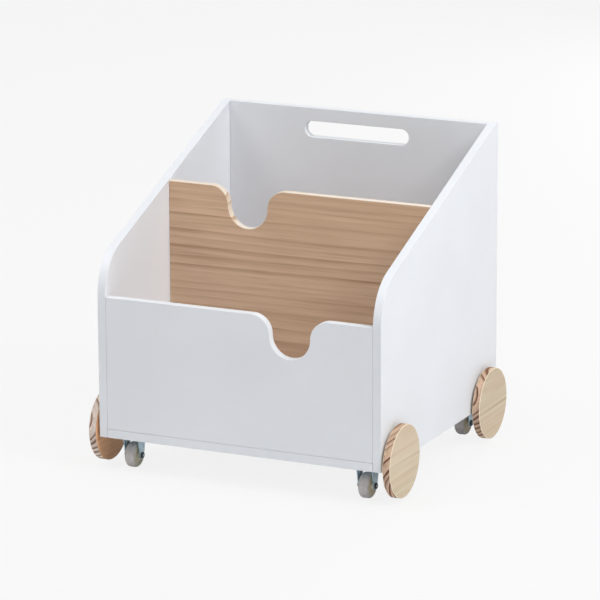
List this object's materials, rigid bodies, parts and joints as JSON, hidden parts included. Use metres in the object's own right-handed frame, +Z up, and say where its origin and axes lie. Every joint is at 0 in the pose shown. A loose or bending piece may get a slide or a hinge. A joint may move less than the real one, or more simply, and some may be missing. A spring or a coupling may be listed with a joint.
{
  "type": "rolling bookcase",
  "caption": "Low open book box with sloping sides, a dipped divider and front, a hand slot, round side discs and four small rigid castors.",
  "frame": {"origin": "on the floor, under the middle of the bookcase", "axes": "+Z up, -Y towards the low front, +X to the right of someone who faces the front"},
  "size_m": [0.449, 0.408, 0.4435],
  "materials": {
    "white_lacquer": "white lacquer on board",
    "pine_board": "bare pine with level grain",
    "pine_disc": "bare pine with level grain",
    "beech": "bare beech",
    "zinc_steel": "zinc plated",
    "die_cast_zinc": "die cast",
    "white_plastic": "moulded",
    "grey_rubber": "moulded, dull"
  },
  "bodies": {
    "case": {"left_side_panel": "white_lacquer", "right_side_panel": "white_lacquer", "front_panel": "white_lacquer", "back_panel": "white_lacquer", "bottom_panel": "white_lacquer", "divider_panel": "pine_board", "divider_dowel_left_lower": "beech", "divider_dowel_left_upper": "beech", "divider_dowel_right_lower": "beech", "divider_dowel_right_upper": "beech", "cam_front_left_lower": "die_cast_zinc", "cam_front_left_upper": "die_cast_zinc", "cam_front_right_lower": "die_cast_zinc", "cam_front_right_upper": "die_cast_zinc", "cam_back_left_lower": "die_cast_zinc", "cam_back_left_upper": "die_cast_zinc", "cam_back_right_lower": "die_cast_zinc", "cam_back_right_upper": "die_cast_zinc", "cam_bolt_front_left_lower": "zinc_steel", "cam_bolt_front_left_upper": "zinc_steel", "cam_bolt_front_right_lower": "zinc_steel", "cam_bolt_front_right_upper": "zinc_steel", "cam_bolt_back_left_lower": "zinc_steel", "cam_bolt_back_left_upper": "zinc_steel", "cam_bolt_back_right_lower": "zinc_steel", "cam_bolt_back_right_upper": "zinc_steel", "disc_front_left": "pine_disc", "disc_front_right": "pine_disc", "disc_rear_left": "pine_disc", "disc_rear_right": "pine_disc", "disc_spacer_front_left": "white_plastic", "disc_spacer_front_right": "white_plastic", "disc_spacer_rear_left": "white_plastic", "disc_spacer_rear_right": "white_plastic", "disc_bolt_front_left": "zinc_steel", "disc_bolt_front_right": "zinc_steel", "disc_bolt_rear_left": "zinc_steel", "disc_bolt_rear_right": "zinc_steel", "castor_bracket_front_left": "zinc_steel", "castor_screw_front_left_outer": "zinc_steel", "castor_screw_front_left_inner": "zinc_steel", "castor_bracket_front_right": "zinc_steel", "castor_screw_front_right_outer": "zinc_steel", "castor_screw_front_right_inner": "zinc_steel", "castor_bracket_rear_left": "zinc_steel", "castor_screw_rear_left_outer": "zinc_steel", "castor_screw_rear_left_inner": "zinc_steel", "castor_bracket_rear_right": "zinc_steel", "castor_screw_rear_right_outer": "zinc_steel", "castor_screw_rear_right_inner": "zinc_steel", "castor_axle_front_left": "zinc_steel", "castor_axle_front_right": "zinc_steel", "castor_axle_rear_left": "zinc_steel", "castor_axle_rear_right": "zinc_steel"},
    "front_left_wheel": {"castor_wheel_front_left": "grey_rubber"},
    "front_right_wheel": {"castor_wheel_front_right": "grey_rubber"},
    "rear_left_wheel": {"castor_wheel_rear_left": "grey_rubber"},
    "rear_right_wheel": {"castor_wheel_rear_right": "grey_rubber"}
  },
  "joints": [
    {"name": "front_left_wheel_roll", "type": "hinge", "parent": "case", "child": "front_left_wheel", "pos_m": [-0.175, -0.165, 0.0175], "axis": [1, 0, 0], "continuous": true},
    {"name": "front_right_wheel_roll", "type": "hinge", "parent": "case", "child": "front_right_wheel", "pos_m": [0.175, -0.165, 0.0175], "axis": [1, 0, 0], "continuous": true},
    {"name": "rear_left_wheel_roll", "type": "hinge", "parent": "case", "child": "rear_left_wheel", "pos_m": [-0.175, 0.165, 0.0175], "axis": [1, 0, 0], "continuous": true},
    {"name": "rear_right_wheel_roll", "type": "hinge", "parent": "case", "child": "rear_right_wheel", "pos_m": [0.175, 0.165, 0.0175], "axis": [1, 0, 0], "continuous": true}
  ]
}
